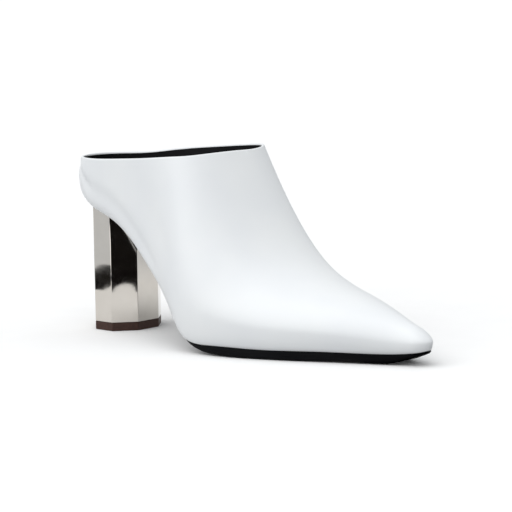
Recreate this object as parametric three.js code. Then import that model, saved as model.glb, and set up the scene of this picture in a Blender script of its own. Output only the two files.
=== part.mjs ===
import * as THREE from 'three';
import { mergeVertices } from 'three/addons/utils/BufferGeometryUtils.js';

// Pointed toe mule for the right foot, in millimetres, +Z up.
// The shoe is worked out on its last. Last stations run along +X from the back
// of the heel (0) to the toe tip (LENGTH), lateral side at -Y, medial at +Y.
// The finished group is moved so that its origin is the middle of the heel's
// bottom face, on the floor.

// Driving dimensions
const LENGTH = 250;
const BALL_WIDTH = 87;
const SEAT_HEIGHT = 76;
const INSTEP_HEIGHT = 107;
const THROAT = 0.4894 * LENGTH;

// Materials' thicknesses and the clearance between touching pieces
const WALL = 1.6;
const MARGIN = 8;
const INSOLE = 1.8;
const INSOLE_END = 0.965 * LENGTH;
const TOP_PIECE = 4.7;
const GAP = 0.3;
const BED_GAP = 0.4;

// Sections of the last, at shares of the length. seat: feather edge's height by
// SEAT_HEIGHT. lateral, medial: half-widths by BALL_WIDTH. rise, inset: where
// the widest line lies above and outside the feather edge, by BALL_WIDTH.
// ridge: the top of the section by INSTEP_HEIGHT, over the opening too, where
// the walls end at the topline on their way to it.
const SECTIONS = table(['at', 'seat', 'lateral', 'medial', 'rise', 'inset', 'ridge'], [
  [0.00, 1.000, 0.272, 0.293, 0.161, 0.050, 2.59],
  [0.10, 0.918, 0.314, 0.326, 0.174, 0.047, 2.53],
  [0.20, 0.815, 0.351, 0.342, 0.200, 0.048, 2.36],
  [0.30, 0.590, 0.401, 0.359, 0.226, 0.048, 2.00],
  [0.40, 0.320, 0.470, 0.380, 0.242, 0.048, 1.50],
  [0.50, 0.106, 0.558, 0.405, 0.217, 0.036, 0.94],
  [0.60, 0.075, 0.551, 0.436, 0.166, 0.035, 0.52],
  [0.68, 0.069, 0.484, 0.447, 0.139, 0.045, 0.38],
  [0.78, 0.074, 0.350, 0.363, 0.114, 0.046, 0.316],
  [0.88, 0.074, 0.206, 0.216, 0.092, 0.036, 0.257],
  [0.95, 0.083, 0.118, 0.122, 0.066, 0.027, 0.201],
  [1.00, 0.105, 0.069, 0.069, 0.052, 0.016, 0.158],
]);

// Sole under the feather edge, at shares of the length: its full thickness and
// how far its edge stands outside the feather edge, in millimetres.
const SOLE = table(['at', 'thick', 'step'], [
  [0.10, 1.4, -3.0],
  [0.30, 1.4, -3.0],
  [0.44, 1.4, -1.6],
  [0.53, 2.2, -0.3],
  [0.57, 3.9, 0.2],
  [0.61, 4.8, 0.4],
  [0.68, 5.2, 0.4],
  [0.78, 4.9, 0.4],
  [0.88, 4.7, 0.4],
  [0.935, 4.2, 0.4],
  [0.965, 2.4, 0.4],
  [1.00, 0.8, 0.4],
]);

// Plan roundings at the back and toe, and the nose of the toe seen from the side
const BACK_ROUND = 37;
const BACK_POWER = 2.2;
const TOE_ROUND = 6.2;
const NOSE_ROUND = 9.5;

// The toe tip overhangs the feather edge by NOSE_REACH from NOSE_HEIGHT upwards
const NOSE_REACH = 1.3;
const NOSE_LENGTH = 16;
const NOSE_HEIGHT = 4.6;

// Back curve: the heel cup leans in below and above its fullest height
const CUP_LENGTH = 60;
const CUP_HEIGHT = 12.6;
const CUP_UNDER = 5.0;
const CUP_OVER = 3.9;

// Oblique ball line: stations shear backwards on the lateral side
const SHEAR = 0.206;
const SHEAR_AT = 0.58;
const SHEAR_SPREAD = 0.2;
const SHEAR_END = 0.15;

// Fullness of the section's upper arc across and upwards
const ARC_ACROSS = 2;
const ARC_UP = 1.9;

// Topline heights on the two sides, at shares of the length: from the back to
// the throat, where both sides meet the ridge
const TOPLINE = table(['at', 'lateral', 'medial'], [
  [0.000, 97.6, 97.6],
  [0.075, 98.0, 97.6],
  [0.150, 98.8, 99.6],
  [0.245, 100.5, 102.3],
  [0.345, 102.7, 104.9],
  [0.420, 104.4, 106.9],
  [0.460, 105.3, 107.4],
  [0.4894, 106.6, 106.6],
]);

// Heel column: an octagon by half its length and width, and half the breadth of
// the flats at its sides and at its front and back
const HEEL_CENTRE = 28.4;
const HEEL_HALF_LENGTH = 16;
const HEEL_HALF_WIDTH = 19.6;
const HEEL_SIDE_FLAT = 6.63;
const HEEL_END_FLAT = 8.12;
const HEEL_STEPS = 6;

// Grid of the upper: stations behind and in front of the throat, rows of the
// arcs below and above the widest line
const OPEN_STATIONS = 28;
const VAMP_STATIONS = 24;
const LOWER_ROWS = 4;
const UPPER_ROWS = 8;

// Spacing of the upper rows where the wall ends under the ridge: the power that
// draws them to the topline, the room left between them, and the least shortfall
const ROW_POWER = 3;
const ROW_SPACE = 0.98;
const LEAST_MISSING = 0.01;

// Small steps: along rows and stations for directions, in s for crossings, and
// the rounds that find a station from a point of the plan
const ROW_STEP = 0.002;
const STATION_STEP = 0.02;
const SEARCH_STEP = 0.02;
const BED_ROUNDS = 12;
const WELD = 1e-3;

function table(columns, rows) {
  return rows.map((row) => Object.fromEntries(columns.map((name, i) => [name, row[i]])));
}

function clamp(value, low = 0, high = 1) {
  return Math.min(Math.max(value, low), high);
}

// Natural cubic spline through one column of a table, in millimetres
function curve(rows, column, unit) {
  const xs = rows.map((row) => row.at * LENGTH);
  const ys = rows.map((row) => row[column] * unit);
  const last = xs.length - 1;
  const slope = (i) => (ys[i + 1] - ys[i]) / (xs[i + 1] - xs[i]);
  const bend = new Array(last + 1).fill(0);
  const factor = new Array(last + 1).fill(0);
  for (let i = 1; i < last; i += 1) {
    const before = xs[i] - xs[i - 1];
    const after = xs[i + 1] - xs[i];
    const pivot = 2 * (before + after) - before * factor[i - 1];
    factor[i] = after / pivot;
    bend[i] = (6 * (slope(i) - slope(i - 1)) - before * bend[i - 1]) / pivot;
  }
  for (let i = last - 1; i > 0; i -= 1) {
    bend[i] -= factor[i] * bend[i + 1];
  }
  return (x) => {
    let i = 0;
    while (i < last - 1 && x > xs[i + 1]) {
      i += 1;
    }
    const span = xs[i + 1] - xs[i];
    const d = x - xs[i];
    const linear = slope(i) - (span * (2 * bend[i] + bend[i + 1])) / 6;
    return ys[i] + d * linear + (d * d * bend[i]) / 2 + (d ** 3 * (bend[i + 1] - bend[i])) / (6 * span);
  };
}

const seat = curve(SECTIONS, 'seat', SEAT_HEIGHT);
const lateral = curve(SECTIONS, 'lateral', BALL_WIDTH);
const medial = curve(SECTIONS, 'medial', BALL_WIDTH);
const rise = curve(SECTIONS, 'rise', BALL_WIDTH);
const inset = curve(SECTIONS, 'inset', BALL_WIDTH);
const ridge = curve(SECTIONS, 'ridge', INSTEP_HEIGHT);
const soleThickness = curve(SOLE, 'thick', 1);
const soleStep = curve(SOLE, 'step', 1);
const toplineLateral = curve(TOPLINE, 'lateral', 1);
const toplineMedial = curve(TOPLINE, 'medial', 1);

// Share of the full width left by the plan roundings of back and toe
function endRounding(x) {
  const back = clamp(x / BACK_ROUND);
  const toe = clamp((LENGTH - x) / TOE_ROUND);
  return (1 - (1 - back) ** BACK_POWER) ** (1 / BACK_POWER) * Math.sqrt(1 - (1 - toe) ** 2);
}

function noseRounding(x) {
  const toe = clamp((LENGTH - x) / NOSE_ROUND);
  return Math.sqrt(1 - (1 - toe) ** 2);
}

// Forward lean of the heel cup at a height above the seat
function cupShift(x, height) {
  const near = clamp(1 - x / CUP_LENGTH) ** 2;
  const under = CUP_UNDER * clamp(1 - height / CUP_HEIGHT) ** 2;
  const over = CUP_OVER * clamp((height - CUP_HEIGHT) / CUP_HEIGHT, 0, 2) ** 2;
  return near * (under + over);
}

// Overhang of the toe tip at a height above the feather edge
function noseReach(x, height) {
  const near = clamp(1 - (LENGTH - x) / NOSE_LENGTH) ** 2;
  return NOSE_REACH * near * Math.sin((Math.PI / 2) * clamp(height / NOSE_HEIGHT));
}

function ballShear(x, y) {
  const share = x / LENGTH;
  const window = Math.exp(-(((share - SHEAR_AT) / SHEAR_SPREAD) ** 2));
  return SHEAR * y * window * clamp(share / SHEAR_END) * clamp((1 - share) / SHEAR_END);
}

function featherHalfWidth(x, side) {
  const widest = side < 0 ? lateral(x) : medial(x);
  return widest - inset(x);
}

// Point of the last's skin. s runs from 0 at the feather edge over 1 at the
// widest line to 2 at the ridge; side is -1 lateral, +1 medial.
function lastPoint(x, s, side) {
  const low = clamp(s) * Math.PI / 2;
  const high = clamp(s - 1) * Math.PI / 2;
  const ends = endRounding(x);
  const widest = (side < 0 ? lateral(x) : medial(x)) * ends;
  const feather = featherHalfWidth(x, side) * ends;
  const top = Math.max(ridge(x) - seat(x) - rise(x), 1) * noseRounding(x);
  const lower = s <= 1;
  const y = lower
    ? feather + (widest - feather) * Math.sin(low)
    : widest * Math.max(Math.cos(high), 0) ** (2 / ARC_ACROSS);
  const height = lower
    ? rise(x) * (1 - Math.cos(low))
    : rise(x) + top * Math.sin(high) ** (2 / ARC_UP);
  const across = s >= 2 ? 0 : side * y;
  const ahead = cupShift(x, height) + noseReach(x, height) + ballShear(x, across);
  return new THREE.Vector3(x + ahead, across, seat(x) + height);
}

// Outward direction of the last's skin
function outward(x, s, side) {
  if (x >= LENGTH) {
    return new THREE.Vector3(1, 0, 0);
  }
  const higher = lastPoint(x, Math.min(s + ROW_STEP, 2), side);
  const girth = higher.sub(lastPoint(x, Math.max(s - ROW_STEP, 0), side));
  const ahead = lastPoint(Math.min(x + STATION_STEP, LENGTH), s, side);
  const along = ahead.sub(lastPoint(Math.max(x - STATION_STEP, 0), s, side));
  if (x <= 0) {
    along.set(0, side, 0);
  }
  if (s >= 2) {
    girth.set(0, -side, 0);
  }
  return along.cross(girth).multiplyScalar(-side).normalize();
}

// Point at a depth under the last's skin
function under(x, s, side, depth) {
  return lastPoint(x, s, side).addScaledVector(outward(x, s, side), -depth);
}

// Height of the last's bottom over a point of the plan, and how much longer its
// upright thicknesses are than the square ones, because it slopes
function bed(planX, planY) {
  let x = planX;
  for (let i = 0; i < BED_ROUNDS; i += 1) {
    x = planX - cupShift(x, 0) - ballShear(x, planY);
  }
  return { height: seat(x), stretch: Math.hypot(1, seat(x + 0.5) - seat(x - 0.5)) };
}

// Height at a square distance over the bed, and the distance of a point from it
function overBed(planX, planY, distance) {
  const { height, stretch } = bed(planX, planY);
  return height + distance * stretch;
}

function aboveBed(point) {
  const { height, stretch } = bed(point.x, point.y);
  return (point.z - height) / stretch;
}

// Where the skin's offset at a depth rises through a height above the bed
function crossing(x, side, depth, height) {
  let s = 1;
  while (s > SEARCH_STEP && aboveBed(under(x, s - SEARCH_STEP, side, depth)) > height) {
    s -= SEARCH_STEP;
  }
  const above = aboveBed(under(x, s, side, depth)) - height;
  const below = height - aboveBed(under(x, s - SEARCH_STEP, side, depth));
  return s - SEARCH_STEP * clamp(above / (above + below));
}

// Plan of the feather edge, stepped outwards by a distance
function featherPlan(x, side, step) {
  const edge = (at) => lastPoint(at, 0, side);
  const point = edge(x);
  const ahead = edge(Math.min(x + STATION_STEP, LENGTH)).sub(edge(Math.max(x - STATION_STEP, 0)));
  const normal = new THREE.Vector3(-ahead.y, ahead.x, 0).multiplyScalar(side).normalize();
  if (x <= 0) {
    normal.set(-1, 0, 0);
  }
  if (x >= LENGTH) {
    normal.set(1, 0, 0);
  }
  return point.addScaledVector(normal, step);
}

// The s of the topline behind the throat, and of the ridge in front of it
function topRow(x, side) {
  if (x >= THROAT) {
    return 2;
  }
  const widest = seat(x) + rise(x);
  const topline = side < 0 ? toplineLateral(x) : toplineMedial(x);
  const share = clamp((topline - widest) / (ridge(x) - widest));
  return 1 + Math.asin(share ** (ARC_UP / 2)) / (Math.PI / 2);
}

// Rows over the widest line: near the throat only the topmost follow the topline
function upperRow(x, i, side) {
  const share = i / UPPER_ROWS;
  const missing = 2 - topRow(x, side);
  const power = Math.min(ROW_POWER, ROW_SPACE / Math.max(missing, LEAST_MISSING));
  return 1 + share - missing * share ** Math.max(power, 1);
}

function stations() {
  const open = Array.from({ length: OPEN_STATIONS }, (_, i) => (
    THROAT * (1 - Math.cos((Math.PI * i) / OPEN_STATIONS)) / 2));
  const vamp = Array.from({ length: VAMP_STATIONS + 1 }, (_, i) => (
    THROAT + (LENGTH - THROAT) * Math.sin((Math.PI * i) / VAMP_STATIONS / 2)));
  return [...open, ...vamp];
}

// One station's closed ring of the upper: the lasting margin and skin outside,
// from the margin's free edge to the topline, then back down inside
function upperRing(x, side) {
  const margin = Math.min(MARGIN, featherHalfWidth(x, side) / 2);
  const free = featherPlan(x, side, -margin);
  const outside = [new THREE.Vector3(free.x, free.y, overBed(free.x, free.y, 0))];
  const inside = [new THREE.Vector3(free.x, free.y, overBed(free.x, free.y, WALL))];
  const corner = crossing(x, side, WALL, WALL);
  for (let i = 0; i <= LOWER_ROWS; i += 1) {
    const share = i / LOWER_ROWS;
    outside.push(lastPoint(x, share, side));
    inside.push(under(x, corner + (1 - corner) * share, side, WALL));
  }
  for (let i = 1; i <= UPPER_ROWS; i += 1) {
    const s = i === UPPER_ROWS ? topRow(x, side) : upperRow(x, i, side);
    outside.push(lastPoint(x, s, side));
    inside.push(under(x, s, side, WALL));
  }
  return [...outside, ...inside.reverse()];
}

// Triangles between rings; keep(ring, row) leaves out quads that would lie in
// the middle plane, where the two halves join
function loft(rings, flip, keep = () => true) {
  const positions = rings.flat().flatMap((point) => [point.x, point.y, point.z]);
  const count = rings[0].length;
  const index = [];
  const add = (a, b, c) => index.push(...(flip ? [a, c, b] : [a, b, c]));
  for (let i = 0; i < rings.length - 1; i += 1) {
    for (let j = 0; j < count; j += 1) {
      if (keep(i, j)) {
        const next = (j + 1) % count;
        const corners = [i * count + j, (i + 1) * count + j, (i + 1) * count + next, i * count + next];
        add(corners[0], corners[1], corners[2]);
        add(corners[0], corners[2], corners[3]);
      }
    }
  }
  return { positions, index, count, rings: rings.length, add };
}

// Closes a loft of four-cornered rings at both ends
function capEnds(part) {
  const last = (part.rings - 1) * part.count;
  part.add(0, 1, 2);
  part.add(0, 2, 3);
  part.add(last, last + 2, last + 1);
  part.add(last, last + 3, last + 2);
  return part;
}

function weld(parts) {
  const positions = parts.flatMap((part) => part.positions);
  let base = 0;
  const index = [];
  for (const part of parts) {
    const from = base;
    part.index.forEach((vertex) => index.push(from + vertex));
    base += part.positions.length / 3;
  }
  const loose = new THREE.BufferGeometry();
  loose.setAttribute('position', new THREE.Float32BufferAttribute(positions, 3));
  loose.setIndex(index);
  const merged = mergeVertices(loose, WELD);
  const source = merged.getIndex().array;
  const kept = [];
  for (let i = 0; i < source.length; i += 3) {
    const [a, b, c] = [source[i], source[i + 1], source[i + 2]];
    if (a !== b && b !== c && c !== a) {
      kept.push(a, b, c);
    }
  }
  merged.setIndex(kept);
  merged.computeVertexNormals();
  return merged;
}

function upper() {
  const xs = stations();
  const topmost = 1 + LOWER_ROWS + UPPER_ROWS;
  const halves = [-1, 1].map((side) => {
    const rings = xs.map((x) => upperRing(x, side));
    return loft(rings, side > 0, (i, j) => !(j === topmost && xs[i] >= THROAT));
  });
  return weld(halves);
}

// The upper's stations between two places, which are added at the ends
function stationsBetween(from, to) {
  return [from, ...stations().filter((x) => x > from + GAP && x < to - GAP), to];
}

// A flat piece along the bed: rings of four corners from the lateral bottom
// edge, with the distances from the bed to its bottom and top
function bedPiece(xs, edge, bottom, top) {
  const rings = xs.map((x) => {
    const near = edge(x, -1);
    const far = edge(x, 1);
    const at = (point, distance) => (
      new THREE.Vector3(point.x, point.y, Math.max(overBed(point.x, point.y, distance), 0)));
    return [at(near, bottom(x)), at(far, bottom(x)), at(far, top), at(near, top)];
  });
  return weld([capEnds(loft(rings, true))]);
}

function insole() {
  const floor = WALL + BED_GAP;
  const edge = (x, side) => under(x, crossing(x, side, floor, floor), side, floor);
  return bedPiece(stationsBetween(0, INSOLE_END), edge, () => floor, floor + INSOLE);
}

function outsole() {
  const edge = (x, side) => featherPlan(x, side, soleStep(x));
  const xs = stationsBetween(HEEL_CENTRE + HEEL_HALF_LENGTH, LENGTH);
  return bedPiece(xs, edge, (x) => -BED_GAP - soleThickness(x), -BED_GAP);
}

// Octagonal block between two heights, by stations along its length
function octagonBlock(bottom, top, steps) {
  const bounds = [-HEEL_HALF_LENGTH, -HEEL_SIDE_FLAT, HEEL_SIDE_FLAT, HEEL_HALF_LENGTH];
  const xs = [bounds[0]];
  for (let i = 1; i < bounds.length; i += 1) {
    for (let k = 1; k <= steps; k += 1) {
      xs.push(bounds[i - 1] + ((bounds[i] - bounds[i - 1]) * k) / steps);
    }
  }
  const rings = xs.map((x) => {
    const corner = clamp((HEEL_HALF_LENGTH - Math.abs(x)) / (HEEL_HALF_LENGTH - HEEL_SIDE_FLAT));
    const half = HEEL_END_FLAT + (HEEL_HALF_WIDTH - HEEL_END_FLAT) * corner;
    const planX = HEEL_CENTRE + x;
    return [[-half, bottom], [half, bottom], [half, top], [-half, top]].map(([y, height]) => (
      new THREE.Vector3(planX, y, height(planX))));
  });
  return weld([capEnds(loft(rings, true))]);
}

function heel() {
  return octagonBlock(() => TOP_PIECE + GAP, (x) => overBed(x, 0, -BED_GAP), HEEL_STEPS);
}

function topPiece() {
  return octagonBlock(() => 0, () => TOP_PIECE, 1);
}

function piece(name, geometry, color, roughness, metalness) {
  const material = new THREE.MeshStandardMaterial({ color, roughness, metalness });
  const mesh = new THREE.Mesh(geometry, material);
  mesh.name = name;
  return mesh;
}

const group = new THREE.Group();
group.add(
  piece('upper', upper(), 0xe6e9ec, 0.38, 0),
  piece('insole', insole(), 0x151414, 0.7, 0),
  piece('outsole', outsole(), 0x100f10, 0.5, 0),
  piece('heel', heel(), 0xd8d3cd, 0.06, 1),
  piece('top_piece', topPiece(), 0x3a231d, 0.45, 0),
);
group.position.x = -HEEL_CENTRE;

export default group;
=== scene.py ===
"""Pointed toe mule, right foot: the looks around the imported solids, in metres."""
import math

import bmesh
import bpy
import numpy as np
from mathutils import Matrix, Vector


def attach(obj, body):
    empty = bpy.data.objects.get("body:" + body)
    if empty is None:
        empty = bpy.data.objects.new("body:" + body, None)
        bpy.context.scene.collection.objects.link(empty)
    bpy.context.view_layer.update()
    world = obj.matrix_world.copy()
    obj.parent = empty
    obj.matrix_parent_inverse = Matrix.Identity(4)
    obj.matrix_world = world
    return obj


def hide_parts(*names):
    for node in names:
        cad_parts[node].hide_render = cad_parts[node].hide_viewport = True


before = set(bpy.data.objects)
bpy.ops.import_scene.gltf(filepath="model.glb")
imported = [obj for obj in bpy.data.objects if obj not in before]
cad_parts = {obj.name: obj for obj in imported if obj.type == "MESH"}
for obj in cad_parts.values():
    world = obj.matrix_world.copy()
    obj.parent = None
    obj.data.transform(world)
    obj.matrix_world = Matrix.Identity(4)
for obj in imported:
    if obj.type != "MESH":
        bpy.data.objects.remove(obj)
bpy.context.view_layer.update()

# The last is worked out in millimetres, as in the part's source, and scaled here
MM = 0.001

# Driving dimensions
LENGTH = 250.0
BALL_WIDTH = 87.0
SEAT_HEIGHT = 76.0
INSTEP_HEIGHT = 107.0
THROAT = 0.4894 * LENGTH
HEEL_CENTRE = 28.4

# Materials' thicknesses and the clearance between touching pieces
WALL = 1.6
MARGIN = 8.0
INSOLE = 1.8
INSOLE_END = 0.965 * LENGTH
TOP_PIECE = 4.7
GAP = 0.3
BED_GAP = 0.4

# Sections of the last, at shares of the length. seat: feather edge's height by the
# seat height. lateral, medial: half-widths by the ball's width. rise, inset: where
# the widest line lies above and outside the feather edge, by the ball's width.
# ridge: the top of the section by the instep's height, over the opening too
SECTION_COLUMNS = ("at", "seat", "lateral", "medial", "rise", "inset", "ridge")
SECTIONS = (
    (0.00, 1.000, 0.272, 0.293, 0.161, 0.050, 2.59),
    (0.10, 0.918, 0.314, 0.326, 0.174, 0.047, 2.53),
    (0.20, 0.815, 0.351, 0.342, 0.200, 0.048, 2.36),
    (0.30, 0.590, 0.401, 0.359, 0.226, 0.048, 2.00),
    (0.40, 0.320, 0.470, 0.380, 0.242, 0.048, 1.50),
    (0.50, 0.106, 0.558, 0.405, 0.217, 0.036, 0.94),
    (0.60, 0.075, 0.551, 0.436, 0.166, 0.035, 0.52),
    (0.68, 0.069, 0.484, 0.447, 0.139, 0.045, 0.38),
    (0.78, 0.074, 0.350, 0.363, 0.114, 0.046, 0.316),
    (0.88, 0.074, 0.206, 0.216, 0.092, 0.036, 0.257),
    (0.95, 0.083, 0.118, 0.122, 0.066, 0.027, 0.201),
    (1.00, 0.105, 0.069, 0.069, 0.052, 0.016, 0.158),
)

# Sole under the feather edge, at shares of the length: its thickness and how far its
# edge stands outside the feather edge, in millimetres
SOLE_COLUMNS = ("at", "thick", "step")
SOLE = (
    (0.10, 1.4, -3.0),
    (0.30, 1.4, -3.0),
    (0.44, 1.4, -1.6),
    (0.53, 2.2, -0.3),
    (0.57, 3.9, 0.2),
    (0.61, 4.8, 0.4),
    (0.68, 5.2, 0.4),
    (0.78, 4.9, 0.4),
    (0.88, 4.7, 0.4),
    (0.935, 4.2, 0.4),
    (0.965, 2.4, 0.4),
    (1.00, 0.8, 0.4),
)

# Plan roundings at the back and toe, and the nose of the toe seen from the side
BACK_ROUND = 37.0
BACK_POWER = 2.2
TOE_ROUND = 6.2
NOSE_ROUND = 9.5

# The toe tip overhangs the feather edge by the reach from the nose height upwards
NOSE_REACH = 1.3
NOSE_LENGTH = 16.0
NOSE_HEIGHT = 4.6

# Back curve: the heel cup leans in below and above its fullest height
CUP_LENGTH = 60.0
CUP_HEIGHT = 12.6
CUP_UNDER = 5.0
CUP_OVER = 3.9

# Oblique ball line: stations shear backwards on the lateral side
SHEAR = 0.206
SHEAR_AT = 0.58
SHEAR_SPREAD = 0.2
SHEAR_END = 0.15

# Fullness of the section's upper arc across and upwards
ARC_ACROSS = 2.0
ARC_UP = 1.9

# Topline heights on the two sides, at shares of the length: from the back to the
# throat, where both sides meet the ridge
TOPLINE_COLUMNS = ("at", "lateral", "medial")
TOPLINE = (
    (0.000, 97.6, 97.6),
    (0.075, 98.0, 97.6),
    (0.150, 98.8, 99.6),
    (0.245, 100.5, 102.3),
    (0.345, 102.7, 104.9),
    (0.420, 104.4, 106.9),
    (0.460, 105.3, 107.4),
    (0.4894, 106.6, 106.6),
)

# Creases and soft swells of the leather: side, start and end as
# (station, height over the feather edge), width and depth, outwards positive
CREASES = (
    (-1, (2.0, 20.0), (22.0, 13.5), 2.6, -0.80),
    (-1, (24.0, 13.0), (84.0, 12.0), 4.0, -0.60),
    (1, (24.0, 13.0), (84.0, 12.0), 4.0, -0.60),
    (-1, (10.0, 4.5), (80.0, 4.0), 3.2, 0.45),
    (1, (10.0, 4.5), (80.0, 4.0), 3.2, 0.45),
    (-1, (40.0, 16.0), (88.0, 22.0), 8.0, 0.25),
    (-1, (66.0, 44.0), (104.0, 36.0), 9.0, -0.20),
    (1, (30.0, 15.0), (84.0, 24.0), 8.0, 0.25),
    (1, (5.0, 12.0), (18.0, 7.0), 2.5, -0.18),
    (-1, (150.0, 30.0), (172.0, 19.0), 5.0, -0.16),
    (1, (150.0, 30.0), (172.0, 19.0), 5.0, -0.16),
)

# Creases fade out within this distance of the ridge, where the two halves meet
CREASE_FADE = 6.0

# Heel column: half the octagon's length and width, half its side and end flats, and
# the softening of its upright corners
HEEL_HALF_LENGTH = 16.0
HEEL_HALF_WIDTH = 19.6
HEEL_SIDE_FLAT = 6.63
HEEL_END_FLAT = 8.12
CORNER_RADIUS = 0.5

# The column's foot over the floor, and the bevels of the foot and of the top piece
HEEL_FOOT = TOP_PIECE + 0.05
FOOT_BEVEL = 0.25
TREAD_BEVEL = 0.3
SEAM_BEVEL = 0.15

# Edge radii of the slabs, low and high
INSOLE_RADII = (0.3, 0.6)
SOLE_RADII = (1.6, 0.25)

# Grids of the fine surfaces: stations behind and in front of the throat, rows below
# and above the widest line and round the rim, a slab's rows across and round an edge,
# points round a heel corner, and the shares of the rings that close a block's top
OPEN_STATIONS = 110
VAMP_STATIONS = 110
LOWER_ROWS = 12
UPPER_ROWS = 34
RIM_ROWS = 6
ACROSS_ROWS = 8
EDGE_STEPS = 3
CORNER_STEPS = 4
TOP_RINGS = (1.0, 0.7, 0.4, 0.12)

# Spacing of the upper rows where the wall ends under the ridge: the power that draws
# them to the topline, the room left between them, and the least shortfall
ROW_POWER = 3
ROW_SPACE = 0.98
LEAST_MISSING = 0.01

# Small steps along rows and stations for directions, half the step for the bed's
# slope, the steps of a search along a row, the rounds that find a station from a
# point of the plan, and the least length that a direction is divided by
ROW_STEP = 0.002
STATION_STEP = 0.02
SLOPE_STEP = 0.5
SEARCH_STEPS = 100
BED_ROUNDS = 12
LEAST_LENGTH = 1e-12

# The opening's end is looked for so far on both sides of the throat
END_REACH = 4.0
END_POINTS = 2001

# Points closer than the first are joined and edges under the second are dissolved, in
# metres, and facets over the area, in square metres, stay flat in their shading
WELD = 2e-6
SLIVER = 1e-7
FACET_AREA = 0.00004

# Material slots of the upper: leather, lining, and edge paint on the lasting margin
OUTSIDE = 0
INSIDE = 1
UNDERSIDE = 2

# The two colours between which each material's tint moves
LEATHER_WHITES = ((0.79, 0.81, 0.829), (0.82, 0.838, 0.849))
LEATHER_BLACKS = ((0.006, 0.006, 0.007), (0.011, 0.011, 0.012))
PAINT_BLACKS = ((0.003, 0.003, 0.004), (0.006, 0.006, 0.007))
PLATE_SILVERS = ((0.585, 0.551, 0.507), (0.61, 0.576, 0.532))
RUBBER_BROWNS = ((0.038, 0.017, 0.012), (0.058, 0.027, 0.020))
FLOOR_WHITES = ((0.925, 0.925, 0.925), (0.935, 0.935, 0.935))
# Painted reflection: blacks of the sheets that only glossy rays see
PAINTED_REFLECTION_BLACKS = ((0.006, 0.005, 0.005), (0.009, 0.008, 0.007))

# A texture's useful span for roughness, and its span for the tints
SPREAD_SPAN = (0.3, 0.7)
TINT_SPAN = (0.35, 0.65)

# Leather's grain: softness of its cells and the share of fine wrinkles over them
PORE_SOFTNESS = 0.6
WRINKLE_SHARE = 0.5

# The photograph's view: angles in degrees, distance and target in metres, and the
# lens as a focal length in pixels over a square frame of so many pixels
CAMERA_AZIMUTH = 42.96
CAMERA_CLIMB = 7.9
CAMERA_ROLL = -1.01
CAMERA_DISTANCE = 1.6703
CAMERA_TARGET = (0.0968, 0.00345, 0.04762)
FOCAL_PIXELS = 3052.7
FRAME_PIXELS = 512
SENSOR = 36.0
CLIP_END = 100

# Light all round: strengths over and under the floor's level, the upward parts of a
# direction between which one turns into the other, and its colour
WORLD_ABOVE = 0.75
WORLD_BELOW = 0.47
WORLD_SPAN = (-0.10, 0.26)
WORLD_COLOUR = (0.975, 0.99, 1.0)

# Soft key light: strength, spread in degrees and direction
KEY_STRENGTH = 1.66
KEY_SPREAD = 90
KEY_FROM = (-0.06, -0.64, 0.77)

# Studio sheets in metres: half the floor, half the cloth and their heights
FLOOR_HALF = 20.0
CLOTH_HALF = 1.5
CLOTH_LIFT = 0.0002
FLAG_LIFT = 0.0004

# Painted shade on the cloth, seen only in reflections: it darkens from the first to the second distance,
# between these colours, as light falls off on the far floor
CLOTH_SHADE_SPAN = (0.17, 0.31)
CLOTH_NEAR = (0.93, 0.93, 0.93)
CLOTH_SHADED_FAR = (0.70, 0.715, 0.73)

# Middles of two facets in metres, and the azimuth that each mirrors in the
# photograph's view
FRONT_FACET = (0.0113, -0.0139, 56.1)
SIDE_FACET = (0.0, -0.0196, -45.9)

# Black flag of painted reflection, which only the front facet mirrors: distances of its
# edges, half its width, and the arch in its near edge by half its width, foot and reach
FLAG_NEAR = 0.149
FLAG_FAR = 0.70
FLAG_HALF = 0.42
ARCH_HALF = 0.0066
ARCH_FOOT = 0.006
ARCH_REACH = 0.025
ARCH_STEPS = 8

# Black spot of painted reflection, which only the side facet mirrors: distance of its
# middle, half its length and width, and its slant
SPOT_AT = 0.206
SPOT_REACH = 0.054
SPOT_HALF = 0.0084
SPOT_SLANT = 1.6
SPOT_STEPS = 24


def spline(columns, rows, name, unit):
    """Natural cubic spline through one column of a table, in millimetres."""
    table = np.array(rows)
    xs = table[:, 0] * LENGTH
    ys = table[:, columns.index(name)] * unit
    count = len(xs)
    gaps = np.diff(xs)
    matrix = np.eye(count)
    right = np.zeros(count)
    for i in range(1, count - 1):
        matrix[i, i - 1:i + 2] = gaps[i - 1], 2 * (gaps[i - 1] + gaps[i]), gaps[i]
        right[i] = 6 * ((ys[i + 1] - ys[i]) / gaps[i] - (ys[i] - ys[i - 1]) / gaps[i - 1])
    bend = np.linalg.solve(matrix, right)

    def at(x):
        x = np.asarray(x, float)
        i = np.clip(np.searchsorted(xs, x) - 1, 0, count - 2)
        d = x - xs[i]
        h = gaps[i]
        linear = (ys[i + 1] - ys[i]) / h - h * (2 * bend[i] + bend[i + 1]) / 6
        return ys[i] + d * linear + d * d * bend[i] / 2 + d ** 3 * (bend[i + 1] - bend[i]) / (6 * h)

    return at


seat = spline(SECTION_COLUMNS, SECTIONS, "seat", SEAT_HEIGHT)
lateral = spline(SECTION_COLUMNS, SECTIONS, "lateral", BALL_WIDTH)
medial = spline(SECTION_COLUMNS, SECTIONS, "medial", BALL_WIDTH)
rise = spline(SECTION_COLUMNS, SECTIONS, "rise", BALL_WIDTH)
inset = spline(SECTION_COLUMNS, SECTIONS, "inset", BALL_WIDTH)
ridge = spline(SECTION_COLUMNS, SECTIONS, "ridge", INSTEP_HEIGHT)
sole_thickness = spline(SOLE_COLUMNS, SOLE, "thick", 1)
sole_step = spline(SOLE_COLUMNS, SOLE, "step", 1)
topline_lateral = spline(TOPLINE_COLUMNS, TOPLINE, "lateral", 1)
topline_medial = spline(TOPLINE_COLUMNS, TOPLINE, "medial", 1)


def unit(vectors):
    """Vectors brought to a length of 1."""
    return vectors / np.maximum(np.linalg.norm(vectors, axis=-1, keepdims=True), LEAST_LENGTH)


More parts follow.
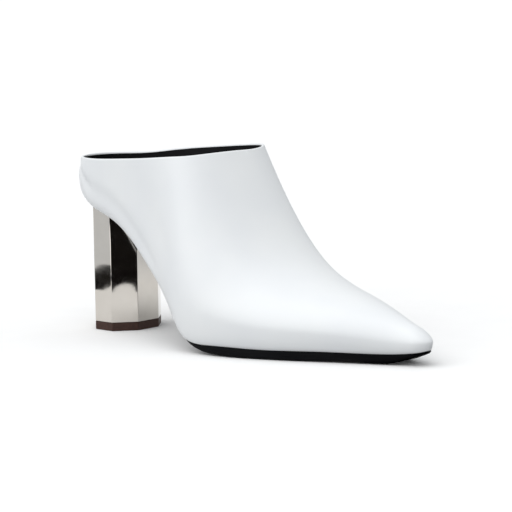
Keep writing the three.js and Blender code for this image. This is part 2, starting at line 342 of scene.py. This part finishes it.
def end_rounding(x):
    """Share of the full width that is left near the back and the toe."""
    back = np.clip(x / BACK_ROUND, 0, 1)
    toe = np.clip((LENGTH - x) / TOE_ROUND, 0, 1)
    return (1 - (1 - back) ** BACK_POWER) ** (1 / BACK_POWER) * np.sqrt(1 - (1 - toe) ** 2)


def nose_rounding(x):
    """Share of the full height that is left near the toe."""
    return np.sqrt(1 - (1 - np.clip((LENGTH - x) / NOSE_ROUND, 0, 1)) ** 2)


def cup_shift(x, height):
    """How far ahead the heel cup leans in, at a height over the feather edge."""
    near = np.clip(1 - x / CUP_LENGTH, 0, 1) ** 2
    under_cup = CUP_UNDER * np.clip(1 - height / CUP_HEIGHT, 0, 1) ** 2
    over_cup = CUP_OVER * np.clip((height - CUP_HEIGHT) / CUP_HEIGHT, 0, 2) ** 2
    return near * (under_cup + over_cup)


def nose_reach(x, height):
    """How far the toe tip overhangs the feather edge, at a height over it."""
    near = np.clip(1 - (LENGTH - x) / NOSE_LENGTH, 0, 1) ** 2
    return NOSE_REACH * near * np.sin(np.pi / 2 * np.clip(height / NOSE_HEIGHT, 0, 1))


def ball_shear(x, y):
    """Shift along the shoe that slants the ball line."""
    share = x / LENGTH
    window = np.exp(-((share - SHEAR_AT) / SHEAR_SPREAD) ** 2)
    return SHEAR * y * window * np.clip(share / SHEAR_END, 0, 1) * np.clip((1 - share) / SHEAR_END, 0, 1)


def half_width(x, side):
    """Half the last's width at its widest line, on one side."""
    return lateral(x) if side < 0 else medial(x)


def last_point(x, s, side):
    """Skin of the last: s is 0 at the feather edge, 1 at the widest line, 2 at the ridge."""
    x, s = np.broadcast_arrays(np.asarray(x, float), np.asarray(s, float))
    low = np.clip(s, 0, 1) * np.pi / 2
    high = np.clip(s - 1, 0, 1) * np.pi / 2
    ends = end_rounding(x)
    widest = half_width(x, side) * ends
    feather = (half_width(x, side) - inset(x)) * ends
    top = np.maximum(ridge(x) - seat(x) - rise(x), 1) * nose_rounding(x)
    arc = np.maximum(np.cos(high), 0) ** (2 / ARC_ACROSS)
    y = np.where(s <= 1, feather + (widest - feather) * np.sin(low), widest * arc)
    climb = rise(x) + top * np.sin(high) ** (2 / ARC_UP)
    height = np.where(s <= 1, rise(x) * (1 - np.cos(low)), climb)
    across = np.where(s >= 2, 0, side * y)
    ahead = cup_shift(x, height) + nose_reach(x, height) + ball_shear(x, across)
    return np.stack([x + ahead, across, seat(x) + height], -1)


def outward(x, s, side):
    """Outward direction of the last's skin."""
    x, s = np.broadcast_arrays(np.asarray(x, float), np.asarray(s, float))
    higher = last_point(x, np.minimum(s + ROW_STEP, 2), side)
    girth = higher - last_point(x, np.maximum(s - ROW_STEP, 0), side)
    ahead = last_point(np.minimum(x + STATION_STEP, LENGTH), s, side)
    along = ahead - last_point(np.maximum(x - STATION_STEP, 0), s, side)
    along = np.where((x <= 0)[..., None], [0, side, 0], along)
    girth = np.where((s >= 2)[..., None], [0, -side, 0], girth)
    normal = np.cross(along, girth) * -side
    return unit(np.where((x >= LENGTH)[..., None], [1, 0, 0], normal))


def under(x, s, side, depth):
    """Point under the last's skin, square to it."""
    return last_point(x, s, side) - outward(x, s, side) * depth


def bed_station(plan_x, plan_y):
    """Station of the last's bottom at a point of the plan."""
    x = np.array(plan_x, float)
    for _ in range(BED_ROUNDS):
        x = plan_x - cup_shift(x, 0) - ball_shear(x, plan_y)
    return x


def bed_stretch(x):
    """Upright height of a square distance of 1 over the bed's slope."""
    return np.hypot(1, seat(x + SLOPE_STEP) - seat(x - SLOPE_STEP))


def over_bed(plan_x, plan_y, distance):
    """Height at a square distance over the last's bottom."""
    x = bed_station(plan_x, plan_y)
    return seat(x) + distance * bed_stretch(x)


def above_bed(points):
    """Square distance of points over the last's bottom."""
    x = bed_station(points[..., 0], points[..., 1])
    return (points[..., 2] - seat(x)) / bed_stretch(x)


def crossing(x, side, depth, height):
    """Where the skin's offset at a depth rises through a height above the bed."""
    steps = np.linspace(0, 1, SEARCH_STEPS + 1)
    level = above_bed(under(x[:, None], steps[None], side, depth)) - height
    below = level < 0
    last_below = np.where(below.any(1), below.shape[1] - 1 - np.argmax(below[:, ::-1], 1), 0)
    i = np.minimum(last_below, len(steps) - 2)
    rows = np.arange(len(x))
    low, high = level[rows, i], level[rows, i + 1]
    return steps[i] + (steps[1] - steps[0]) * np.clip(-low / np.where(high > low, high - low, 1), 0, 1)


def feather_plan(x, side, step):
    """Plan of the feather edge, stepped outwards by a distance."""
    point = last_point(x, 0, side)
    ahead = last_point(np.minimum(x + STATION_STEP, LENGTH), 0, side)
    along = ahead - last_point(np.maximum(x - STATION_STEP, 0), 0, side)
    normal = unit(side * np.stack([-along[..., 1], along[..., 0]], -1))
    normal = np.where((x <= 0)[..., None], [-1, 0], normal)
    normal = np.where((x >= LENGTH)[..., None], [1, 0], normal)
    return point[..., :2] + normal * np.asarray(step)[..., None]


def topline_height(x, side):
    """Height of the outer skin's edge, where the rounded rim starts under the topline."""
    return (topline_lateral(x) if side < 0 else topline_medial(x)) - WALL / 2


def opening_end():
    """Station where the opening's edge meets the ridge."""
    x = np.linspace(THROAT - END_REACH, THROAT + END_REACH, END_POINTS)
    return x[np.argmax(ridge(x) < topline_height(np.minimum(x, THROAT), -1))]


OPENING_END = opening_end()


def top_row(x, side):
    """s of the upper's last row: at the topline, or at the ridge in front of the throat."""
    widest = seat(x) + rise(x)
    edge = topline_height(np.minimum(x, THROAT), side)
    share = np.clip((edge - widest) / np.maximum(ridge(x) - widest, 1), 0, 1)
    return np.where(x < OPENING_END, 1 + np.arcsin(share ** (ARC_UP / 2)) / (np.pi / 2), 2.0)


def stations():
    """Stations of the fine grid, closer together at the back, the throat and the toe."""
    back = OPENING_END * (1 - np.cos(np.pi * np.arange(OPEN_STATIONS) / OPEN_STATIONS)) / 2
    ahead = np.sin(np.pi * np.arange(VAMP_STATIONS + 1) / VAMP_STATIONS / 2)
    return np.concatenate([back, OPENING_END + (LENGTH - OPENING_END) * ahead])


def row_table(x, start, side):
    """s of each row at each station, from a start row below the widest line to the top row."""
    low = start[:, None] + (1 - start[:, None]) * np.linspace(0, 1, LOWER_ROWS + 1)[None]
    share = np.linspace(0, 1, UPPER_ROWS + 1)[None, 1:]
    missing = (2 - top_row(x, side))[:, None]
    power = np.maximum(np.minimum(ROW_POWER, ROW_SPACE / np.maximum(missing, LEAST_MISSING)), 1)
    high = 1 + share - missing * share ** power
    high[:, -1] = top_row(x, side)
    return np.concatenate([low, high], 1)


def add_mesh(name, points, faces, materials, slots):
    """A smooth mesh from points in last millimetres, with its double points joined."""
    mesh = bpy.data.meshes.new(name)
    placed = (np.asarray(points, float) - [HEEL_CENTRE, 0, 0]) * MM
    mesh.from_pydata(placed.tolist(), [], faces)
    for material in materials:
        mesh.materials.append(material)
    mesh.polygons.foreach_set("material_index", slots)
    obj = bpy.data.objects.new(name, mesh)
    bpy.context.scene.collection.objects.link(obj)
    work = bmesh.new()
    work.from_mesh(mesh)
    bmesh.ops.remove_doubles(work, verts=work.verts, dist=WELD)
    bmesh.ops.dissolve_degenerate(work, edges=work.edges, dist=SLIVER)
    bmesh.ops.recalc_face_normals(work, faces=work.faces)
    work.to_mesh(mesh)
    work.free()
    mesh.polygons.foreach_set("use_smooth", [True] * len(mesh.polygons))
    return obj


def ring_faces(ring_count, row_count, flip, slot_of):
    """Quads between closed rings of points, ring after ring, and their material slots."""
    faces = []
    slots = []
    for i in range(ring_count - 1):
        for j in range(row_count):
            slot = slot_of(i, j)
            if slot is None:
                continue
            k = (j + 1) % row_count
            quad = (i * row_count + j, (i + 1) * row_count + j, (i + 1) * row_count + k, i * row_count + k)
            faces.append(quad[::-1] if flip else quad)
            slots.append(slot)
    return faces, slots


def capped_faces(ring_count, row_count, slot_of):
    """Quads between closed rings, and a face over the first ring and over the last."""
    faces, slots = ring_faces(ring_count, row_count, False, slot_of)
    faces.append(tuple(range(row_count)))
    faces.append(tuple(range((ring_count - 1) * row_count, ring_count * row_count))[::-1])
    return faces, slots + [0, 0]


def soft_line(x, height, start, end, width):
    """1 on a line drawn on the shoe's side, falling off softly across and at its ends."""
    ax, ah = start
    run = np.array([end[0] - ax, end[1] - ah])
    length = np.hypot(*run)
    along = ((x - ax) * run[0] + (height - ah) * run[1]) / length
    across = ((x - ax) * run[1] - (height - ah) * run[0]) / length
    beyond = np.maximum(np.maximum(-along, along - length), 0)
    return np.exp(-(across / width) ** 2 - (beyond / (2 * width)) ** 2)


def relief(x, points, side):
    """How far the creases and swells move points of the skin outwards."""
    height = points[..., 2] - seat(x)
    total = np.zeros(height.shape)
    for crease_side, start, end, width, depth in CREASES:
        if crease_side == side:
            total += depth * soft_line(x, height, start, end, width)
    return total * np.clip(np.abs(points[..., 1]) / CREASE_FADE, 0, 1)


def rim(x, outer, inner, side):
    """Rounded topline edge between the outer and inner skins, along the opening."""
    normal = unit(outer - inner)
    tangent = np.gradient(outer, axis=0)
    ends = (x <= 0) | (x >= OPENING_END)
    tangent = unit(np.where(ends[:, None], [0, side, 0], tangent))
    raised = unit(np.cross(normal, tangent))
    raised *= np.sign(raised[:, 2:3])
    middle = (outer + inner) / 2
    rows = []
    for k in range(1, RIM_ROWS):
        turn = np.pi * k / RIM_ROWS
        row = middle + (outer - middle) * np.cos(turn) + raised * (WALL / 2) * np.sin(turn)
        rows.append(np.where((x > OPENING_END)[:, None], outer, row))
    return np.stack(rows, 1)


def upper_half(x, side):
    """Closed rings of one half of the upper, one for each station."""
    margin = np.minimum(MARGIN, (half_width(x, side) - inset(x)) / 2)
    free = feather_plan(x, side, -margin)
    below = np.concatenate([free, over_bed(free[:, 0], free[:, 1], 0)[:, None]], 1)
    above = np.concatenate([free, over_bed(free[:, 0], free[:, 1], WALL)[:, None]], 1)
    outer_rows = row_table(x, np.zeros_like(x), side)
    inner_rows = row_table(x, crossing(x, side, WALL, WALL), side)
    column = x[:, None]
    outer = last_point(column, outer_rows, side)
    outer = outer + outward(column, outer_rows, side) * relief(column, outer, side)[..., None]
    inner = under(column, inner_rows, side, WALL)
    edge = rim(x, outer[:, -1], inner[:, -1], side)
    return np.concatenate([below[:, None], outer, edge, inner[:, ::-1], above[:, None]], 1)


def make_upper(leather, lining, blackened):
    """Leather outside, lining inside, and the lasting margin blackened under the shoe."""
    x = stations()
    rows = LOWER_ROWS + 1 + UPPER_ROWS
    points, faces, slots = [], [], []

    def slot_of(i, j):
        if rows <= j < rows + RIM_ROWS:
            return None if x[i] >= OPENING_END else OUTSIDE
        if j == 0:
            return UNDERSIDE
        return OUTSIDE if j < rows else INSIDE

    for side in (-1, 1):
        rings = upper_half(x, side)
        half_faces, half_slots = ring_faces(rings.shape[0], rings.shape[1], side > 0, slot_of)
        start = sum(len(block) for block in points)
        faces += [tuple(start + corner for corner in face) for face in half_faces]
        slots += half_slots
        points.append(rings.reshape(-1, 3))
    return add_mesh("upper_leather", np.concatenate(points), faces, [leather, lining, blackened], slots)


def rounded_profile(bottom, top, low_radius, high_radius):
    """Edge of a slab from its top to its bottom: inset, distance and lift of each point."""
    points = []
    for k in range(EDGE_STEPS + 1):
        turn = math.pi / 2 * k / EDGE_STEPS
        drop = high_radius * (1 - math.cos(turn))
        points.append((high_radius * (1 - math.sin(turn)), top - drop, 0.0))
    for k in range(EDGE_STEPS + 1):
        turn = math.pi / 2 * k / EDGE_STEPS
        lift = low_radius * (1 - math.sin(turn))
        points.append((low_radius * (1 - math.cos(turn)), bottom + lift, lift))
    return points


def make_slab(name, x, edge, bottom, top, radii, materials):
    """A slab along the last's bottom, with rounded edges; bottom is a distance at each station.

    The second of two materials goes underneath.
    """
    profile = rounded_profile(bottom, top, *radii)
    turn = len(profile)
    sides = {side: [edge(x, side, inset_by) for inset_by, _, _ in profile] for side in (-1, 1)}
    plan, height = [], []
    for k, (_, distance, lift) in enumerate(profile):
        plan.append(sides[-1][k])
        height.append((distance, lift))
    for k in range(1, ACROSS_ROWS):
        plan.append(sides[-1][-1] + (sides[1][-1] - sides[-1][-1]) * k / ACROSS_ROWS)
        height.append((profile[-1][1], 0.0))
    for k in range(turn - 1, -1, -1):
        plan.append(sides[1][k])
        height.append((profile[k][1], profile[k][2]))
    for k in range(ACROSS_ROWS - 1, 0, -1):
        plan.append(sides[-1][0] + (sides[1][0] - sides[-1][0]) * k / ACROSS_ROWS)
        height.append((profile[0][1], 0.0))
    rings = []
    for flat, (distance, lift) in zip(plan, height):
        z = np.maximum(over_bed(flat[:, 0], flat[:, 1], distance), lift)
        rings.append(np.concatenate([flat, z[:, None]], 1))
    rings = np.stack(rings, 1)
    under_rows = range(turn - 1, turn + ACROSS_ROWS)

    def slot_of(i, j):
        return 1 if len(materials) > 1 and j in under_rows else 0

    faces, slots = capped_faces(len(x), rings.shape[1], slot_of)
    return add_mesh(name, rings.reshape(-1, 3), faces, materials, slots)


def make_insole(material):
    """The insole board with its sock, on the lasting margin inside the upper."""
    x = stations()
    x = np.concatenate([x[x < INSOLE_END], [INSOLE_END]])
    floor = WALL + BED_GAP

    def edge(at, side, inset_by):
        s = crossing(at, side, floor, floor)
        return under(at, s, side, floor + inset_by)[:, :2]

    return make_slab("insole_sock", x, edge, floor, floor + INSOLE, INSOLE_RADII, [material])


def make_outsole(edge_material, bottom_material):
    """The sole from the heel's front face to the toe."""
    x = stations()
    start = HEEL_CENTRE + HEEL_HALF_LENGTH
    x = np.concatenate([[start], x[x > start + GAP]])

    def edge(at, side, inset_by):
        return feather_plan(at, side, sole_step(at) - inset_by)

    bottom = -BED_GAP - sole_thickness(x)
    materials = [edge_material, bottom_material]
    return make_slab("sole", x, edge, bottom, -BED_GAP / 2, SOLE_RADII, materials)


def octagon_outline(grow):
    """Octagon with softened corners, around the heel's centre."""
    length, width = HEEL_HALF_LENGTH + grow, HEEL_HALF_WIDTH + grow
    end, side = HEEL_END_FLAT + grow / 2, HEEL_SIDE_FLAT + grow / 2
    corners = [(length, -end), (length, end), (side, width), (-side, width)]
    corners += [(-x, -y) for x, y in corners]
    reach = CORNER_RADIUS * math.tan(math.pi / len(corners))
    outline = []
    for i, corner in enumerate(corners):
        here = Vector(corner)
        before = (Vector(corners[i - 1]) - here).normalized()
        after = (Vector(corners[(i + 1) % len(corners)]) - here).normalized()
        first, last = here + before * reach, here + after * reach
        for k in range(CORNER_STEPS + 1):
            t = k / CORNER_STEPS
            outline.append((first * (1 - t) ** 2 + here * 2 * t * (1 - t) + last * t * t)[:])
    return np.array(outline) + [HEEL_CENTRE, 0]


def make_block(name, levels, top_height, material):
    """A faceted block from rings of (growth, height), closed at both ends."""
    rings = []
    for grow, height in levels:
        outline = octagon_outline(grow)
        rings.append(np.concatenate([outline, np.full((len(outline), 1), height)], 1))
    highest = octagon_outline(levels[-1][0]) - [HEEL_CENTRE, 0]
    for share in TOP_RINGS:
        outline = highest * share + [HEEL_CENTRE, 0]
        rings.append(np.concatenate([outline, top_height(outline)[:, None]], 1))
    rings = np.stack(rings)
    faces, slots = capped_faces(len(rings), rings.shape[1], lambda i, j: 0)
    block = add_mesh(name, rings.reshape(-1, 3), faces, [material], slots)
    polygons = block.data.polygons
    polygons.foreach_set("use_smooth", [polygon.area < FACET_AREA for polygon in polygons])
    return block


def make_heel(material):
    """The octagonal column, its top cut to the seat."""
    def under_seat(flat):
        return over_bed(flat[:, 0], np.zeros(len(flat)), -BED_GAP)

    levels = ((-FOOT_BEVEL, HEEL_FOOT), (0.0, HEEL_FOOT + FOOT_BEVEL))
    return make_block("heel_column", levels, under_seat, material)


def make_top_piece(material):
    """The flat piece under the column, on the floor."""
    def level_top(flat):
        return np.full(len(flat), TOP_PIECE)

    levels = (
        (-TREAD_BEVEL, 0.0),
        (0.0, TREAD_BEVEL),
        (0.0, TOP_PIECE - SEAM_BEVEL),
        (-SEAM_BEVEL, TOP_PIECE),
    )
    return make_block("heel_top_piece", levels, level_top, material)


def new_material(name, base, roughness, metallic=0.0, specular=0.5, coat=0.0, coat_roughness=0.1):
    """A new node material and its shader."""
    made = bpy.data.materials.new(name)
    made.use_nodes = True
    made.diffuse_color = (*base, 1)
    shader = made.node_tree.nodes["Principled BSDF"]
    shader.inputs["Base Color"].default_value = (*base, 1)
    shader.inputs["Roughness"].default_value = roughness
    shader.inputs["Metallic"].default_value = metallic
    shader.inputs["Specular IOR Level"].default_value = specular
    shader.inputs["Coat Weight"].default_value = coat
    shader.inputs["Coat Roughness"].default_value = coat_roughness
    return made, shader


def node(tree, kind, **values):
    """A new node, with values for its inputs or else its settings."""
    made = tree.nodes.new(kind)
    for key, value in values.items():
        if key in made.inputs:
            made.inputs[key].default_value = value
        else:
            setattr(made, key, value)
    return made


def placed_noise(tree, scale, detail, stretch=(1, 1, 1)):
    """Noise over the piece in its own metres; scale is in cells to the metre."""
    where = node(tree, "ShaderNodeTexCoord")
    mapping = node(tree, "ShaderNodeMapping")
    mapping.inputs["Scale"].default_value = stretch
    noise = node(tree, "ShaderNodeTexNoise", Scale=scale, Detail=detail)
    tree.links.new(where.outputs["Object"], mapping.inputs["Vector"])
    tree.links.new(mapping.outputs["Vector"], noise.inputs["Vector"])
    return noise, mapping


def map_range(tree, source, span, low, high, **settings):
    """Maps a value's span onto the range from low to high."""
    step = node(tree, "ShaderNodeMapRange", **settings)
    step.inputs["From Min"].default_value = span[0]
    step.inputs["From Max"].default_value = span[1]
    step.inputs["To Min"].default_value = low
    step.inputs["To Max"].default_value = high
    tree.links.new(source, step.inputs["Value"])
    return step.outputs["Result"]


def roughen(tree, shader, source, low, high):
    """Moves the shader's roughness between two values by a texture."""
    result = map_range(tree, source, SPREAD_SPAN, low, high)
    tree.links.new(result, shader.inputs["Roughness"])


def tint(tree, shader, source, colours):
    """Moves the shader's colour between two colours by a texture."""
    ramp = node(tree, "ShaderNodeValToRGB")
    for element, position, colour in zip(ramp.color_ramp.elements, TINT_SPAN, colours):
        element.position = position
        element.color = (*colour, 1)
    tree.links.new(source, ramp.inputs["Fac"])
    tree.links.new(ramp.outputs["Color"], shader.inputs["Base Color"])


def bump(tree, source, depth, target):
    """Turns a texture into bump, of a depth in metres, and feeds it to a socket."""
    made = node(tree, "ShaderNodeBump", Strength=1.0, Distance=depth)
    tree.links.new(source, made.inputs["Height"])
    tree.links.new(made.outputs["Normal"], target)
    return made


def grain(tree, shader, cells, depth, swell_depth=0.0):
    """Leather's grain: soft cells with finer wrinkles, and a slow swell, as bump."""
    noise, mapping = placed_noise(tree, scale=900, detail=3)
    pores = node(tree, "ShaderNodeTexVoronoi", Scale=cells, feature="SMOOTH_F1")
    pores.inputs["Smoothness"].default_value = PORE_SOFTNESS
    tree.links.new(mapping.outputs["Vector"], pores.inputs["Vector"])
    mixed = node(tree, "ShaderNodeMath", operation="MULTIPLY_ADD")
    mixed.inputs[1].default_value = WRINKLE_SHARE
    tree.links.new(noise.outputs["Fac"], mixed.inputs[0])
    tree.links.new(pores.outputs["Distance"], mixed.inputs[2])
    fine = bump(tree, mixed.outputs["Value"], depth, shader.inputs["Normal"])
    if swell_depth:
        swell, _ = placed_noise(tree, scale=45, detail=1)
        bump(tree, swell.outputs["Fac"], swell_depth, fine.inputs["Normal"])


def white_leather():
    """Smooth white leather: faint clouds, uneven gloss and a fine grain."""
    base = (0.80, 0.82, 0.84)
    made, shader = new_material("white_leather", base, 0.42, specular=0.45, coat=0.12, coat_roughness=0.3)
    tree = made.node_tree
    clouds, _ = placed_noise(tree, scale=28, detail=2)
    tint(tree, shader, clouds.outputs["Fac"], LEATHER_WHITES)
    spots, _ = placed_noise(tree, scale=160, detail=3)
    roughen(tree, shader, spots.outputs["Fac"], low=0.39, high=0.46)
    grain(tree, shader, cells=1500, depth=0.000012, swell_depth=0.00006)
    return made


def black_leather(name, roughness, cells, depth, specular):
    """Black leather of the lining, the sock and the sole's bottom."""
    made, shader = new_material(name, (0.012, 0.012, 0.014), roughness, specular=specular)
    tree = made.node_tree
    clouds, _ = placed_noise(tree, scale=60, detail=3)
    tint(tree, shader, clouds.outputs["Fac"], LEATHER_BLACKS)
    roughen(tree, shader, clouds.outputs["Fac"], low=roughness - 0.05, high=roughness + 0.06)
    grain(tree, shader, cells, depth)
    return made


def sole_edge():
    """Black edge paint, with faint runs along the edge."""
    made, shader = new_material("sole_edge_paint", (0.004, 0.004, 0.005), 0.45, specular=0.05)
    tree = made.node_tree
    runs, _ = placed_noise(tree, scale=300, detail=3, stretch=(0.12, 0.12, 1))
    roughen(tree, shader, runs.outputs["Fac"], low=0.40, high=0.52)
    tint(tree, shader, runs.outputs["Fac"], PAINT_BLACKS)
    bump(tree, runs.outputs["Fac"], 0.00002, shader.inputs["Normal"])
    return made


def mirror_plate():
    """Warm mirror plating with a faint unevenness under its gloss."""
    made, shader = new_material("mirror_plate", (0.595, 0.56, 0.517), 0.045, metallic=1.0)
    tree = made.node_tree
    haze, _ = placed_noise(tree, scale=120, detail=2)
    roughen(tree, shader, haze.outputs["Fac"], low=0.03, high=0.07)
    tint(tree, shader, haze.outputs["Fac"], PLATE_SILVERS)
    wave, _ = placed_noise(tree, scale=55, detail=1)
    bump(tree, wave.outputs["Fac"], 0.00005, shader.inputs["Normal"])
    return made


def brown_rubber():
    """Brown rubber of the top piece, finely speckled."""
    made, shader = new_material("brown_top_piece", (0.038, 0.017, 0.012), 0.55, specular=0.25)
    tree = made.node_tree
    specks, _ = placed_noise(tree, scale=700, detail=3)
    tint(tree, shader, specks.outputs["Fac"], RUBBER_BROWNS)
    roughen(tree, shader, specks.outputs["Fac"], low=0.42, high=0.60)
    bump(tree, specks.outputs["Fac"], 0.00002, shader.inputs["Normal"])
    return made


def place_camera():
    """Sets the scene's camera to the photograph's view."""
    azimuth = math.radians(CAMERA_AZIMUTH)
    climb = math.radians(CAMERA_CLIMB)
    roll = math.radians(CAMERA_ROLL)
    level = Vector((math.sin(azimuth), -math.cos(azimuth), 0))
    back = level * math.cos(climb) + Vector((0, 0, math.sin(climb)))
    right = Vector((math.cos(azimuth), math.sin(azimuth), 0))
    up = back.cross(right)
    turned_right = right * math.cos(roll) + up * math.sin(roll)
    turned_up = up * math.cos(roll) - right * math.sin(roll)
    data = bpy.data.cameras.new("photo_camera")
    data.sensor_width = SENSOR
    data.lens = FOCAL_PIXELS / FRAME_PIXELS * SENSOR
    data.clip_end = CLIP_END
    camera = bpy.data.objects.new("photo_camera", data)
    bpy.context.scene.collection.objects.link(camera)
    turn = Matrix((turned_right, turned_up, back)).transposed().to_4x4()
    camera.matrix_world = Matrix.Translation(Vector(CAMERA_TARGET) + back * CAMERA_DISTANCE) @ turn
    bpy.context.scene.camera = camera


def stage_sheet(name, outline, height, material):
    """A flat sheet of the studio, level with the floor or just over it."""
    mesh = bpy.data.meshes.new(name)
    mesh.from_pydata([(x, y, height) for x, y in outline], [], [tuple(range(len(outline)))])
    mesh.materials.append(material)
    sheet = bpy.data.objects.new(name, mesh)
    bpy.context.scene.collection.objects.link(sheet)
    return sheet


def square(half):
    """Corners of a level square around the origin, by half its side."""
    return [(-half, -half), (half, -half), (half, half), (-half, half)]


def studio_floor():
    """Plain pale floor."""
    made, shader = new_material("studio_floor", (0.93, 0.93, 0.93), 0.8, specular=0.1)
    weave, _ = placed_noise(made.node_tree, scale=40, detail=2)
    tint(made.node_tree, shader, weave.outputs["Fac"], FLOOR_WHITES)
    return made


def painted_reflection_black():
    """Black of the sheets that paint dark reflections into the mirror heel."""
    made, shader = new_material("painted_reflection_black", (0.01, 0.009, 0.008), 0.9, specular=0.0)
    weave, _ = placed_noise(made.node_tree, scale=40, detail=2)
    tint(made.node_tree, shader, weave.outputs["Fac"], PAINTED_REFLECTION_BLACKS)
    return made


def studio_painted_shade():
    """Pale cloth round the shoe, seen only in reflections, with painted shade that darkens it outwards as
    the light falls off.
    """
    made, shader = new_material("studio_painted_shade", (0.7, 0.7, 0.7), 0.9, specular=0.0)
    tree = made.node_tree
    where = node(tree, "ShaderNodeTexCoord")
    reach = node(tree, "ShaderNodeVectorMath", operation="LENGTH")
    tree.links.new(where.outputs["Object"], reach.inputs[0])
    # Painted shade: the cloth's colour darkens with the distance from the shoe
    share = map_range(tree, reach.outputs["Value"], CLOTH_SHADE_SPAN, 0, 1, interpolation_type="SMOOTHSTEP")
    mix = node(tree, "ShaderNodeMix", data_type="RGBA")
    mix.inputs["A"].default_value = (*CLOTH_NEAR, 1)
    mix.inputs["B"].default_value = (*CLOTH_SHADED_FAR, 1)
    tree.links.new(share, mix.inputs["Factor"])
    tree.links.new(mix.outputs["Result"], shader.inputs["Base Color"])
    return made


def studio_world():
    """Soft light all round: brighter from above than from below the floor's level."""
    world = bpy.data.worlds.new("studio")
    bpy.context.scene.world = world
    world.use_nodes = True
    tree = world.node_tree
    sky = tree.nodes["Background"]
    where = node(tree, "ShaderNodeTexCoord")
    split = node(tree, "ShaderNodeSeparateXYZ")
    tree.links.new(where.outputs["Generated"], split.inputs["Vector"])
    strength = map_range(tree, split.outputs["Z"], WORLD_SPAN, WORLD_BELOW, WORLD_ABOVE)
    tree.links.new(strength, sky.inputs["Strength"])
    sky.inputs["Color"].default_value = (*WORLD_COLOUR, 1)


def studio_key():
    """Broad soft sun from the shoe's lateral side."""
    data = bpy.data.lights.new("key", "SUN")
    data.energy = KEY_STRENGTH
    data.angle = math.radians(KEY_SPREAD)
    key = bpy.data.objects.new("key", data)
    bpy.context.scene.collection.objects.link(key)
    key.rotation_euler = (-Vector(KEY_FROM)).to_track_quat("-Z", "Y").to_euler()


def make_studio():
    """Floor, light, and the sheets that only the mirror heel sees, which paint black reflections and shade
    into it.
    """
    bpy.context.scene.view_settings.view_transform = "Standard"
    studio_world()
    floor = stage_sheet("studio_floor", square(FLOOR_HALF), 0, studio_floor())
    floor.visible_diffuse = False
    black = painted_reflection_black()
    flag = stage_sheet("painted_reflection_flag", flag_outline(), FLAG_LIFT, black)
    spot = stage_sheet("painted_reflection_spot", spot_outline(), FLAG_LIFT, black)
    cloth = stage_sheet("painted_shade_cloth", square(CLOTH_HALF), CLOTH_LIFT, studio_painted_shade())
    # Hidden from the camera, from bounced light and from shadows: these sheets only paint reflections and
    # shade into glossy surfaces
    for sheet in (flag, spot, cloth):
        sheet.visible_camera = False
        sheet.visible_diffuse = False
        sheet.visible_shadow = False
    studio_key()


def mirrored_floor(facet, distance, across):
    """Point of the floor that a facet mirrors, by its distance and how far it lies to the side."""
    x, y, azimuth = facet
    turn = math.radians(azimuth)
    out = Vector((math.sin(turn), -math.cos(turn)))
    side = Vector((-out.y, out.x))
    return (Vector((x, y)) + out * distance + side * across)[:]


def flag_outline():
    """Black flag of painted reflection ahead of the heel, its near edge notched by a round-topped arch."""
    points = [(FLAG_NEAR, -FLAG_HALF), (FLAG_NEAR, -ARCH_HALF)]
    for k in range(ARCH_STEPS + 1):
        turn = math.pi * k / ARCH_STEPS
        distance = FLAG_NEAR + ARCH_FOOT + ARCH_REACH * math.sin(turn)
        points.append((distance, -ARCH_HALF * math.cos(turn)))
    points += [(FLAG_NEAR, ARCH_HALF), (FLAG_NEAR, FLAG_HALF), (FLAG_FAR, FLAG_HALF), (FLAG_FAR, -FLAG_HALF)]
    return [mirrored_floor(FRONT_FACET, *point) for point in points]


def spot_outline():
    """Slanted black spot of painted reflection beside the heel."""
    points = []
    for k in range(SPOT_STEPS):
        turn = 2 * math.pi * k / SPOT_STEPS
        across = SPOT_HALF * math.cos(turn)
        points.append((SPOT_AT + SPOT_REACH * math.sin(turn) + SPOT_SLANT * across, across))
    return [mirrored_floor(SIDE_FACET, *point) for point in points]


make_studio()
place_camera()
leather = white_leather()
edge_paint = sole_edge()
lining = black_leather("black_lining", roughness=0.62, cells=1400, depth=0.00002, specular=0.12)
sock = black_leather("black_sock", roughness=0.5, cells=1200, depth=0.00003, specular=0.3)
sole_bottom = black_leather("sole_leather", roughness=0.45, cells=1600, depth=0.00001, specular=0.3)
pieces = (
    (make_upper(leather, lining, edge_paint), "upper", "white_leather"),
    (make_insole(sock), "insole", "black_sock"),
    (make_outsole(edge_paint, sole_bottom), "outsole", "black_sole"),
    (make_heel(mirror_plate()), "heel", "mirror_heel"),
    (make_top_piece(brown_rubber()), "top_piece", "brown_top_piece"),
)
for piece, solid, slot in pieces:
    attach(piece, "root")
    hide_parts(solid)
